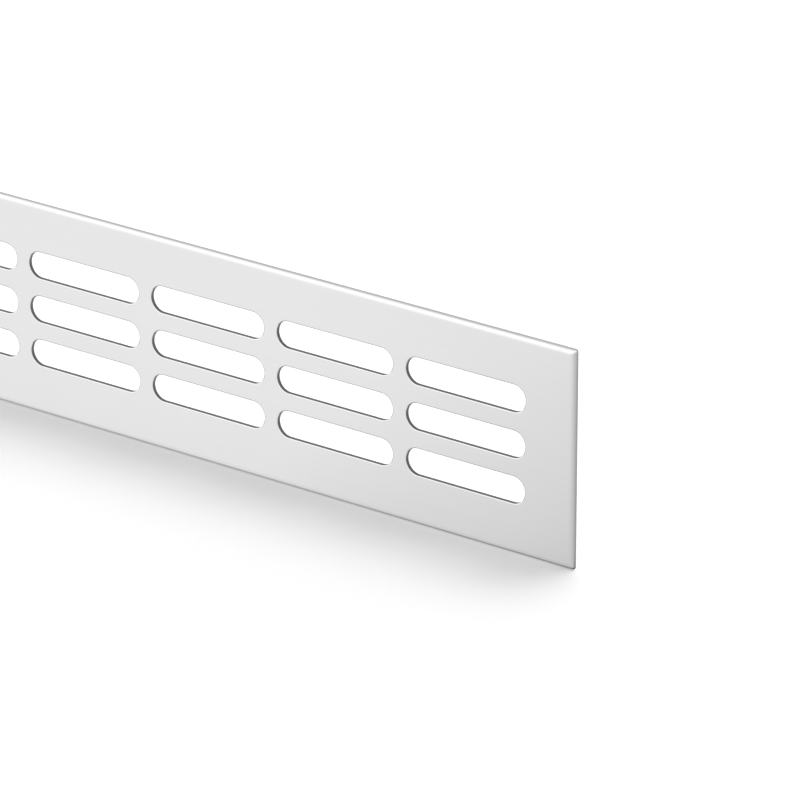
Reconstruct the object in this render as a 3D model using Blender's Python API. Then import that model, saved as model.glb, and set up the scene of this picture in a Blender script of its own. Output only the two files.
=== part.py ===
"""A flat ventilation grille: one aluminium sheet with rows of obround air slots.

The sheet stands upright. +X runs along its length, +Z up its height, and its face
looks towards -Y. The origin is the middle of its back, which lies against the wall,
plinth or cupboard panel that the grille covers. All sizes are in metres.
"""

import math

import bmesh
import bpy

# The sheet
PLATE_LENGTH = 0.480
PLATE_HEIGHT = 0.080
SHEET_THICKNESS = 0.0015

# Its pressed border, which rolls from the face back towards the wall
BORDER_WIDTH = 0.0022
BORDER_LAND = 0.0002
CORNER_RADIUS = 0.0010
MITRE_RADIUS = 0.0002

# The air slots, punched from the face, and the metal kept round them
SLOT_LENGTH = 0.050
SLOT_WIDTH = 0.010
SLOT_ROLL_WIDTH = 0.0005
SLOT_ROLL_DEPTH = 0.0002
END_MARGIN_LEAST = 0.020
EDGE_MARGIN_LEAST = 0.018
WEB_BETWEEN_COLUMNS = 0.0056
BAR_BETWEEN_ROWS = 0.0067

# How finely the round stretches are drawn
BORDER_STEPS = 6
CORNER_STEPS = 4
SLOT_END_STEPS = 16
SLOT_ROLL_STEPS = 4
PUNCH_REACH = 0.001

# The anodised finish
FINISH_COLOUR = (0.72, 0.72, 0.73, 1.0)
FINISH_ROUGHNESS = 0.38

FRONT_FACE = -SHEET_THICKNESS


def clear_scene():
    for old in list(bpy.data.objects):
        bpy.data.objects.remove(old, do_unlink=True)


def anodised_aluminium():
    material = bpy.data.materials.new("satin_anodised_aluminium")
    material.use_nodes = True
    shader = material.node_tree.nodes["Principled BSDF"]
    shader.inputs["Base Color"].default_value = FINISH_COLOUR
    shader.inputs["Metallic"].default_value = 1.0
    shader.inputs["Roughness"].default_value = FINISH_ROUGHNESS
    return material


def how_many_fit(room, size, gap):
    """The number of equal openings, a gap apart, that fit in the room between the margins."""
    rounding = 1e-9
    return max(1, math.floor((room + gap) / (size + gap) + rounding))


def centred_places(count, pitch):
    return [(index - (count - 1) / 2) * pitch for index in range(count)]


def rectangle_loop(inset, radius):
    """The sheet's outline, moved in by inset, as (x, z) points with rounded corners."""
    half_x = PLATE_LENGTH / 2 - inset - radius
    half_z = PLATE_HEIGHT / 2 - inset - radius
    points = []
    for quarter, (side_x, side_z) in enumerate(((1, 1), (-1, 1), (-1, -1), (1, -1))):
        for step in range(CORNER_STEPS + 1):
            angle = math.pi / 2 * (quarter + step / CORNER_STEPS)
            x = side_x * half_x + radius * math.cos(angle)
            z = side_z * half_z + radius * math.sin(angle)
            points.append((x, z))
    return points


def obround_loop(length, width):
    """A slot's outline round its own centre, as (x, z) points: two half circles and two straights."""
    radius = width / 2
    centre = (length - width) / 2
    points = []
    for half, side in enumerate((1, -1)):
        for step in range(SLOT_END_STEPS + 1):
            angle = math.pi * (half + step / SLOT_END_STEPS) - math.pi / 2
            points.append((side * centre + radius * math.cos(angle), radius * math.sin(angle)))
    return points


def rolled_edge(width, depth, steps):
    """A quarter ellipse from the face to a cut edge, as (how far from the edge, how deep) pairs."""
    pairs = []
    for step in range(steps + 1):
        angle = math.pi / 2 * step / steps
        pairs.append((width * (1 - math.sin(angle)), depth * (1 - math.cos(angle))))
    return pairs


def add_lofted_body(bm, sections, centre=(0.0, 0.0)):
    """Join outlines of equal point count, each at its own depth y, and close both ends."""
    rings = []
    for depth, outline in sections:
        ring = [bm.verts.new((centre[0] + x, depth, centre[1] + z)) for x, z in outline]
        rings.append(ring)
    for near, far in zip(rings, rings[1:]):
        for index in range(len(near)):
            after = (index + 1) % len(near)
            bm.faces.new((near[index], near[after], far[after], far[index]))
    bm.faces.new(list(reversed(rings[0])))
    bm.faces.new(rings[-1])


def object_from_bmesh(name, bm):
    bmesh.ops.recalc_face_normals(bm, faces=bm.faces[:])
    mesh = bpy.data.meshes.new(name)
    bm.to_mesh(mesh)
    bm.free()
    made = bpy.data.objects.new(name, mesh)
    bpy.context.scene.collection.objects.link(made)
    return made


def pressed_sheet():
    """The blank: flat face, a border that rolls back as a quarter ellipse, and a flat back."""
    sections = []
    for inset, drop in rolled_edge(BORDER_WIDTH, SHEET_THICKNESS - BORDER_LAND, BORDER_STEPS):
        share_of_roll = inset / BORDER_WIDTH
        radius = CORNER_RADIUS + (MITRE_RADIUS - CORNER_RADIUS) * share_of_roll
        sections.append((FRONT_FACE + drop, rectangle_loop(inset, radius)))
    sections.append((0.0, rectangle_loop(0.0, CORNER_RADIUS)))
    bm = bmesh.new()
    add_lofted_body(bm, sections)
    return object_from_bmesh("grille_plate", bm)


def slot_punches():
    """One punch for each slot: straight through the sheet, and widened at the face's rolled rim."""
    column_pitch = SLOT_LENGTH + WEB_BETWEEN_COLUMNS
    row_pitch = SLOT_WIDTH + BAR_BETWEEN_ROWS
    columns = how_many_fit(PLATE_LENGTH - 2 * END_MARGIN_LEAST, SLOT_LENGTH, WEB_BETWEEN_COLUMNS)
    rows = how_many_fit(PLATE_HEIGHT - 2 * EDGE_MARGIN_LEAST, SLOT_WIDTH, BAR_BETWEEN_ROWS)
    sections = []
    for outset, drop in rolled_edge(SLOT_ROLL_WIDTH, SLOT_ROLL_DEPTH, SLOT_ROLL_STEPS):
        outline = obround_loop(SLOT_LENGTH + 2 * outset, SLOT_WIDTH + 2 * outset)
        sections.append((FRONT_FACE + drop, outline))
    widest = sections[0][1]
    narrowest = sections[-1][1]
    sections = [(FRONT_FACE - PUNCH_REACH, widest), *sections, (PUNCH_REACH, narrowest)]
    bm = bmesh.new()
    for x in centred_places(columns, column_pitch):
        for z in centred_places(rows, row_pitch):
            add_lofted_body(bm, sections, centre=(x, z))
    punches = object_from_bmesh("slot_punches", bm)
    punches.hide_render = True
    punches.display_type = "WIRE"
    return punches


def cut_slots(plate, punches):
    cut = plate.modifiers.new("air_slots", "BOOLEAN")
    cut.operation = "DIFFERENCE"
    cut.solver = "EXACT"
    cut.object = punches


def shade_round_stretches(plate):
    plate.data.shade_smooth()
    plate.data.set_sharp_from_angle(angle=math.radians(30))


def make_grille():
    clear_scene()
    plate = pressed_sheet()
    shade_round_stretches(plate)
    plate.data.materials.append(anodised_aluminium())
    cut_slots(plate, slot_punches())


make_grille()
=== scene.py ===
import math

import bmesh
import bpy
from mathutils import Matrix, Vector


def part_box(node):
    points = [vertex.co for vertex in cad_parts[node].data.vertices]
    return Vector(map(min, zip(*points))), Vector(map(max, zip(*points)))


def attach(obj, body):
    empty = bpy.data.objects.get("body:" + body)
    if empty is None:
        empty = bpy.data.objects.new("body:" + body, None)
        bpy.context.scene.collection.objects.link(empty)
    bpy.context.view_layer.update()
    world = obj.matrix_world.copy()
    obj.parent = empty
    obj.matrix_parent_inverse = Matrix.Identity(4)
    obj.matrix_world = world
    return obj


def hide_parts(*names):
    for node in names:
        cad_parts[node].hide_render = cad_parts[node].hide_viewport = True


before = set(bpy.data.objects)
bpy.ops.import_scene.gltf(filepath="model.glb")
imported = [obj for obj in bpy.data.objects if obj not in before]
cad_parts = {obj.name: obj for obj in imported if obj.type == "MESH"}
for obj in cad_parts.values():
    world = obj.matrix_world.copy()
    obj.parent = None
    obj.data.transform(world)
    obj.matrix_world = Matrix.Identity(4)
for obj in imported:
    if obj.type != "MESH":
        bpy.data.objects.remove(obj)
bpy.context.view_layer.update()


# The grille plate: one sheet of aluminium, 1.5 mm thick, punched with rows of round-ended
# slots, its border rolled back towards the wall. It is brushed finely along its length and
# anodised satin silver. The slots' cut walls are darker, partly their own tone and partly
# painted shade, and the undersides of their rims carry a painted shade.

plate_low, plate_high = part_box("grille_plate")
weld_distance = 0.000001
sharp_corner = math.radians(40)
punched_tilt = math.radians(50)
rolled_tilt = math.radians(10)
border_strip = 0.003
face_index, wall_index, shaded_rim_index = 0, 1, 2
# The rims that face down and to the left, a slot's upper edge and its right end, get a painted
# shade: a darker grey that stands in for the floor's shade they mirror.
shaded_side = Vector((-0.6, 0.0, -0.8))

plate_bm = bmesh.new()
plate_bm.from_mesh(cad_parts["grille_plate"].data)
bmesh.ops.remove_doubles(plate_bm, verts=plate_bm.verts, dist=weld_distance)
for edge in plate_bm.edges:
    edge.smooth = edge.is_manifold and edge.calc_face_angle() < sharp_corner
for panel in plate_bm.faces:
    panel.smooth = True
    middle = panel.calc_center_median()
    inside_border = (
        plate_low.x + border_strip < middle.x < plate_high.x - border_strip
        and plate_low.z + border_strip < middle.z < plate_high.z - border_strip
    )
    punched = abs(panel.normal.y) < math.cos(punched_tilt)
    rolled = abs(panel.normal.y) < math.cos(rolled_tilt)
    # Cut walls take the wall grey, partly painted shade; rims facing the shaded side take the rim
    # grey, a painted shade.
    if inside_border and punched:
        panel.material_index = wall_index
    elif inside_border and rolled and panel.normal.dot(shaded_side) > 0:
        panel.material_index = shaded_rim_index
    else:
        panel.material_index = face_index
plate_mesh = bpy.data.meshes.new("dressed_grille_plate")
plate_bm.to_mesh(plate_mesh)
plate_bm.free()
dressed_plate = bpy.data.objects.new("dressed_grille_plate", plate_mesh)
bpy.context.scene.collection.objects.link(dressed_plate)
even_shading = dressed_plate.modifiers.new("even_shading", "WEIGHTED_NORMAL")
even_shading.keep_sharp = True
even_shading.weight = 100


def feed(tree, socket, value):
    """Give a socket a plain number, or join another node's output to it."""
    if isinstance(value, (int, float)):
        socket.default_value = value
    else:
        tree.links.new(value, socket)


def worked_out(tree, operation, *values):
    """The result of one Math node, fed by numbers or by other nodes."""
    node = tree.nodes.new("ShaderNodeMath")
    node.operation = operation
    for socket, value in zip(node.inputs, values):
        feed(tree, socket, value)
    return node.outputs["Value"]


def ranged(tree, value, low, high, start=0.0, end=1.0, kind="LINEAR"):
    """A level that goes from low to high while the value goes from start to end."""
    node = tree.nodes.new("ShaderNodeMapRange")
    node.interpolation_type = kind
    tree.links.new(value, node.inputs["Value"])
    for name, amount in (("From Min", start), ("From Max", end), ("To Min", low), ("To Max", high)):
        feed(tree, node.inputs[name], amount)
    return node.outputs["Result"]


def noise_on_piece(tree, stretch, detail, roughness=0.5):
    """Noise on the piece's own coordinates, finer along the axes with the greater stretch."""
    place = tree.nodes.new("ShaderNodeTexCoord")
    mapping = tree.nodes.new("ShaderNodeMapping")
    mapping.inputs["Scale"].default_value = stretch
    noise = tree.nodes.new("ShaderNodeTexNoise")
    noise.inputs["Scale"].default_value = 1.0
    noise.inputs["Detail"].default_value = detail
    noise.inputs["Roughness"].default_value = roughness
    tree.links.new(place.outputs["Object"], mapping.inputs["Vector"])
    tree.links.new(mapping.outputs["Vector"], noise.inputs["Vector"])
    return noise.outputs["Fac"]


line_stretch = (14, 600, 2600)
cloud_stretch = (28, 28, 28)
noise_middle = 0.5


def brushed_grain_group():
    """Fine lines along the sheet, and the slow cloudiness that anodising leaves."""
    group = bpy.data.node_groups.new("brushed_grain", "ShaderNodeTree")
    group.interface.new_socket("Line Strength", in_out="INPUT", socket_type="NodeSocketFloat")
    group.interface.new_socket("Cloud Strength", in_out="INPUT", socket_type="NodeSocketFloat")
    group.interface.new_socket("Tone", in_out="OUTPUT", socket_type="NodeSocketFloat")
    group.interface.new_socket("Height", in_out="OUTPUT", socket_type="NodeSocketFloat")
    given = group.nodes.new("NodeGroupInput")
    put_out = group.nodes.new("NodeGroupOutput")
    brush_lines = noise_on_piece(group, line_stretch, detail=3.0, roughness=0.6)
    clouds = noise_on_piece(group, cloud_stretch, detail=2.0)
    lines_round_zero = worked_out(group, "SUBTRACT", brush_lines, noise_middle)
    clouds_round_zero = worked_out(group, "SUBTRACT", clouds, noise_middle)
    line_part = worked_out(group, "MULTIPLY", lines_round_zero, given.outputs["Line Strength"])
    tone = worked_out(
        group, "MULTIPLY_ADD", clouds_round_zero, given.outputs["Cloud Strength"], line_part
    )
    group.links.new(tone, put_out.inputs["Tone"])
    group.links.new(brush_lines, put_out.inputs["Height"])
    return group


brushed_grain = brushed_grain_group()
satin_roughness = 0.36
roughness_spread = 0.04
line_strength = 0.05
cloud_strength = 0.02
brush_depth = 0.00002
brush_bump = 0.15


def satin_finish(name, grey):
    """Brushed and anodised aluminium: bare metal of one grey, with the fine grain on it."""
    finish = bpy.data.materials.new(name)
    finish.use_nodes = True
    tree = finish.node_tree
    shader = tree.nodes["Principled BSDF"]
    shader.inputs["Metallic"].default_value = 1.0
    grain = tree.nodes.new("ShaderNodeGroup")
    grain.node_tree = brushed_grain
    grain.inputs["Line Strength"].default_value = line_strength
    grain.inputs["Cloud Strength"].default_value = cloud_strength
    tone = worked_out(tree, "ADD", grain.outputs["Tone"], grey)
    tree.links.new(tone, shader.inputs["Base Color"])
    smoothest = satin_roughness - roughness_spread
    roughest = satin_roughness + roughness_spread
    sheen = ranged(tree, grain.outputs["Height"], smoothest, roughest)
    tree.links.new(sheen, shader.inputs["Roughness"])
    bump = tree.nodes.new("ShaderNodeBump")
    bump.inputs["Strength"].default_value = brush_bump
    bump.inputs["Distance"].default_value = brush_depth
    tree.links.new(grain.outputs["Height"], bump.inputs["Height"])
    tree.links.new(bump.outputs["Normal"], shader.inputs["Normal"])
    return finish


face_grey = 0.855
# The rim grey is a painted shade, darker than the face to stand in for the shade the rims mirror.
rim_painted_shade_grey = 0.46
face_finish = satin_finish("satin_anodised_face", face_grey)
rim_painted_shade_finish = satin_finish("satin_anodised_rim_painted_shade", rim_painted_shade_grey)

# The slots' cut walls: a dark grey that is partly the cut metal's own tone and partly painted shade
# of the slot, with punch marks in tone and roughness.
punch_stretch = (4000, 300, 4000)
wall_painted_shade_grey = 0.29
wall_roughness = 0.45
wall_spread = 0.08
wall_painted_shade_finish = bpy.data.materials.new("punched_slot_wall_painted_shade")
wall_painted_shade_finish.use_nodes = True
tree = wall_painted_shade_finish.node_tree
shader = tree.nodes["Principled BSDF"]
shader.inputs["Metallic"].default_value = 1.0
punch_marks = noise_on_piece(tree, punch_stretch, detail=2.0)
wall_shade_and_marks_tone = ranged(tree, punch_marks, wall_painted_shade_grey - wall_spread, wall_painted_shade_grey + wall_spread)
tree.links.new(wall_shade_and_marks_tone, shader.inputs["Base Color"])
wall_sheen = ranged(tree, punch_marks, wall_roughness - wall_spread, wall_roughness + wall_spread)
tree.links.new(wall_sheen, shader.inputs["Roughness"])

for finish in (face_finish, wall_painted_shade_finish, rim_painted_shade_finish):
    plate_mesh.materials.append(finish)
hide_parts("grille_plate")
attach(dressed_plate, "root")


# The floor: a plain white table that the plate stands on. The camera sees the plate's soft
# shadow on it, its depth in front of the plate reshaped by a painted shadow in the lift, and
# white where no shadow falls. The metal mirrors a painted room by way of it, dimmer towards
# the plate's right end and with a painted shade where the plate's foot meets it.

floor_reach = 8.0
floor_gap = 0.0001
floor_bm = bmesh.new()
bmesh.ops.create_grid(floor_bm, x_segments=1, y_segments=1, size=floor_reach)
bmesh.ops.translate(floor_bm, verts=floor_bm.verts, vec=(0, 0, plate_low.z - floor_gap))
floor_mesh = bpy.data.meshes.new("floor")
floor_bm.to_mesh(floor_mesh)
floor_bm.free()
floor = bpy.data.objects.new("floor", floor_mesh)
bpy.context.scene.collection.objects.link(floor)


def level_by_place(tree, place, levels):
    """A level that changes along one axis, from (place, level) pairs in rising order."""
    first, last = levels[0][0], levels[-1][0]
    shade = tree.nodes.new("ShaderNodeValToRGB")
    elements = shade.color_ramp.elements
    while len(elements) < len(levels):
        elements.new(0.5)
    for element, (where, level) in zip(elements, levels):
        element.position = (where - first) / (last - first)
        element.color = (level, level, level, 1.0)
    tree.links.new(ranged(tree, place, 0.0, 1.0, start=first, end=last), shade.inputs["Fac"])
    return shade.outputs["Color"]


def chosen_by(tree, factor, level_at_0, level_at_1):
    """A level that goes from one to another while the factor goes from 0 to 1."""
    node = tree.nodes.new("ShaderNodeMix")
    node.data_type = "FLOAT"
    feed(tree, node.inputs["Factor"], factor)
    feed(tree, node.inputs["A"], level_at_0)
    feed(tree, node.inputs["B"], level_at_1)
    return node.outputs["Result"]


def seen_in_metal(tree, kind_of_ray):
    """1 where the metal mirrors this straight to the camera, and 0 elsewhere."""
    not_by_floor = worked_out(tree, "LESS_THAN", kind_of_ray.outputs["Diffuse Depth"], 0.5)
    return worked_out(tree, "MULTIPLY", kind_of_ray.outputs["Is Glossy Ray"], not_by_floor)


floor_white = 0.90
floor_paint = bpy.data.materials.new("white_floor")
floor_paint.use_nodes = True
tree = floor_paint.node_tree
tree.nodes.clear()
kind_of_ray = tree.nodes.new("ShaderNodeLightPath")
floor_place = tree.nodes.new("ShaderNodeTexCoord")
floor_axes = tree.nodes.new("ShaderNodeSeparateXYZ")
tree.links.new(floor_place.outputs["Object"], floor_axes.inputs["Vector"])
along_plate, away_from_plate = floor_axes.outputs["X"], floor_axes.outputs["Y"]

lift_anywhere = 0.31
# The lift changes with depth in front of the plate: a painted shadow that deepens and lightens the
# real one, with painted light along the foot.
painted_shadow_lift = (
    (-0.120, lift_anywhere), (-0.073, 0.318), (-0.058, 0.330), (-0.046, 0.326), (-0.036, 0.298),
    (-0.022, 0.246), (-0.012, 0.262), (-0.003, 0.370), (0.0, 0.44), (0.004, lift_anywhere),
)
shadow_end = plate_high.x - 0.020
shadow_past = plate_high.x + 0.010
near_reach, far_reach = 0.25, 1.0
far_lift = 0.8
off_middle = worked_out(tree, "ABSOLUTE", along_plate)
beside_plate = ranged(
    tree, off_middle, 0.0, 1.0, start=shadow_end, end=shadow_past, kind="SMOOTHSTEP"
)
painted_shadow_by_depth = level_by_place(tree, away_from_plate, painted_shadow_lift)
near_part = chosen_by(tree, beside_plate, painted_shadow_by_depth, lift_anywhere)
how_far = tree.nodes.new("ShaderNodeVectorMath")
how_far.operation = "LENGTH"
tree.links.new(floor_place.outputs["Object"], how_far.inputs[0])
far_part = ranged(
    tree, how_far.outputs["Value"], 0.0, far_lift, start=near_reach, end=far_reach, kind="SMOOTHSTEP"
)
whole_lift = worked_out(tree, "ADD", near_part, far_part)
lift_for_camera = worked_out(tree, "MULTIPLY", kind_of_ray.outputs["Is Camera Ray"], whole_lift)
matt = tree.nodes.new("ShaderNodeBsdfDiffuse")
matt.inputs["Color"].default_value = (floor_white, floor_white, floor_white, 1.0)
lift = tree.nodes.new("ShaderNodeEmission")
tree.links.new(lift_for_camera, lift.inputs["Strength"])
matt_and_lift = tree.nodes.new("ShaderNodeAddShader")
tree.links.new(matt.outputs["BSDF"], matt_and_lift.inputs[0])
tree.links.new(lift.outputs["Emission"], matt_and_lift.inputs[1])

mirrored_by_depth = ((-0.080, 1.0), (-0.020, 0.985), (-0.002, 0.97), (0.010, 0.90), (0.05, 1.0))
mirrored_by_length = (
    (0.03, 1.0), (0.10, 0.982), (0.15, 0.888), (0.205, 0.815), (0.24, 0.71), (0.50, 0.68),
)
# Painted shade: what the metal mirrors darkens along the plate's foot, in place of the contact shade
# there.
foot_by_length = ((0.10, 0.20), (0.16, 0.12), (0.24, 0.0))
foot_middle = -0.0004
foot_reach = 0.0014
from_foot = worked_out(tree, "SUBTRACT", away_from_plate, foot_middle)
off_foot = worked_out(tree, "ABSOLUTE", from_foot)
foot_level = level_by_place(tree, along_plate, foot_by_length)
painted_foot_shade = ranged(tree, off_foot, foot_level, 1.0, end=foot_reach, kind="SMOOTHSTEP")
depth_level = level_by_place(tree, away_from_plate, mirrored_by_depth)
length_level = level_by_place(tree, along_plate, mirrored_by_length)
mirrored_level = worked_out(tree, "MULTIPLY", depth_level, length_level)
mirrored = tree.nodes.new("ShaderNodeBsdfTransparent")
mirrored_with_foot = worked_out(tree, "MULTIPLY", mirrored_level, painted_foot_shade)
tree.links.new(mirrored_with_foot, mirrored.inputs["Color"])

floor_look = tree.nodes.new("ShaderNodeMixShader")
tree.links.new(seen_in_metal(tree, kind_of_ray), floor_look.inputs["Fac"])
tree.links.new(matt_and_lift.outputs["Shader"], floor_look.inputs[1])
tree.links.new(mirrored.outputs["BSDF"], floor_look.inputs[2])
underside = tree.nodes.new("ShaderNodeNewGeometry")
clear = tree.nodes.new("ShaderNodeBsdfTransparent")
one_sided = tree.nodes.new("ShaderNodeMixShader")
tree.links.new(underside.outputs["Backfacing"], one_sided.inputs["Fac"])
tree.links.new(floor_look.outputs["Shader"], one_sided.inputs[1])
tree.links.new(clear.outputs["BSDF"], one_sided.inputs[2])
floor_out = tree.nodes.new("ShaderNodeOutputMaterial")
tree.links.new(one_sided.outputs["Shader"], floor_out.inputs["Surface"])
floor_mesh.materials.append(floor_paint)


# The studio light: white all round for the camera. The metal mirrors a softbox in front, set
# lower at the left than straight ahead, and a dimmer room behind and to the right. One broad
# lamp, above and behind the plate, throws its soft shadow forwards.

studio = bpy.data.worlds.new("studio")
bpy.context.scene.world = studio
studio.use_nodes = True
tree = studio.node_tree
tree.nodes.clear()
surround_place = tree.nodes.new("ShaderNodeTexCoord")
direction = tree.nodes.new("ShaderNodeSeparateXYZ")
tree.links.new(surround_place.outputs["Generated"], direction.inputs["Vector"])
to_right, to_back, upwards = direction.outputs["X"], direction.outputs["Y"], direction.outputs["Z"]

softbox_level = 1.455
low_glow = ((-0.90, 0.45), (-0.60, 0.65), (-0.10, 0.66), (0.40, 0.66), (0.75, 0.33))
bright_part = ((-0.10, 0.0), (0.05, 0.34), (0.40, 0.34), (0.75, 0.17))
at_the_left, straight_ahead = -0.35, 0.0
higher_ahead = 0.25
bright_start = ranged(tree, to_right, 0.0, higher_ahead, start=at_the_left, end=straight_ahead)
above_start = worked_out(tree, "SUBTRACT", upwards, bright_start)
glow_level = level_by_place(tree, upwards, low_glow)
bright_level = level_by_place(tree, above_start, bright_part)
both_levels = worked_out(tree, "ADD", glow_level, bright_level)
softbox = worked_out(tree, "MULTIPLY", both_levels, softbox_level)

behind_by_height = ((-0.30, 0.84), (-0.05, 0.60))
front_edge, back_edge = -0.45, 0.10
behind = level_by_place(tree, upwards, behind_by_height)
front_and_back = ranged(
    tree, to_back, softbox, behind, start=front_edge, end=back_edge, kind="SMOOTHSTEP"
)
back_right = (0.8, 0.6, 0.0)
level_to_back_right = ((-0.50, 1.0), (-0.15, 0.90), (0.25, 0.77), (1.0, 0.73))
to_back_right = tree.nodes.new("ShaderNodeVectorMath")
to_back_right.operation = "DOT_PRODUCT"
to_back_right.inputs[1].default_value = back_right
tree.links.new(surround_place.outputs["Generated"], to_back_right.inputs[0])
side = level_by_place(tree, to_back_right.outputs["Value"], level_to_back_right)
mirrored_room = worked_out(tree, "MULTIPLY", front_and_back, side)

fill_level = 0.208
white_level = 1.0
kind_of_ray = tree.nodes.new("ShaderNodeLightPath")
fill_or_room = chosen_by(tree, seen_in_metal(tree, kind_of_ray), fill_level, mirrored_room)
surround_level = chosen_by(
    tree, kind_of_ray.outputs["Is Camera Ray"], fill_or_room, white_level
)
surround = tree.nodes.new("ShaderNodeBackground")
surround.inputs["Color"].default_value = (1.0, 1.0, 1.0, 1.0)
tree.links.new(surround_level, surround.inputs["Strength"])
surround_out = tree.nodes.new("ShaderNodeOutputWorld")
tree.links.new(surround.outputs["Background"], surround_out.inputs["Surface"])

lamp_distance = 1.2
lamp_size = 2.5
lamp_power = 25.5
lamp_elevation = math.radians(58)
lamp_turn = math.radians(-6)
lamp_data = bpy.data.lights.new("overhead_lamp", "AREA")
lamp_data.shape = "DISK"
lamp_data.size = lamp_size
lamp_data.energy = lamp_power
lamp = bpy.data.objects.new("overhead_lamp", lamp_data)
bpy.context.scene.collection.objects.link(lamp)
lamp.visible_glossy = False
towards_lamp = Vector((
    math.sin(lamp_turn) * math.cos(lamp_elevation),
    math.cos(lamp_turn) * math.cos(lamp_elevation),
    math.sin(lamp_elevation),
))
lamp.location = towards_lamp * lamp_distance
lamp.rotation_mode = "QUATERNION"
lamp.rotation_quaternion = towards_lamp.to_track_quat("Z", "Y")


# The camera: it stands to the right, in front and above, with a long lens, and the right
# end of the plate fills the picture. The plate runs on past the picture's left edge.

camera_azimuth = math.radians(36.78)
camera_elevation = math.radians(22.32)
camera_distance = 2.068
camera_lens = 273.2
aim_from_right_end = 0.0729
aim_above_middle = 0.0044
camera_data = bpy.data.cameras.new("camera")
camera_data.lens = camera_lens
camera_data.sensor_width = 36.0
camera_data.clip_end = 100.0
camera = bpy.data.objects.new("camera", camera_data)
bpy.context.scene.collection.objects.link(camera)
back = Vector((
    math.sin(camera_azimuth) * math.cos(camera_elevation),
    -math.cos(camera_azimuth) * math.cos(camera_elevation),
    math.sin(camera_elevation),
))
aim = Vector((plate_high.x - aim_from_right_end, plate_low.y, aim_above_middle))
camera.location = aim + back * camera_distance
camera.rotation_mode = "QUATERNION"
camera.rotation_quaternion = back.to_track_quat("Z", "Y")
bpy.context.scene.camera = camera
bpy.context.scene.view_settings.view_transform = "Standard"
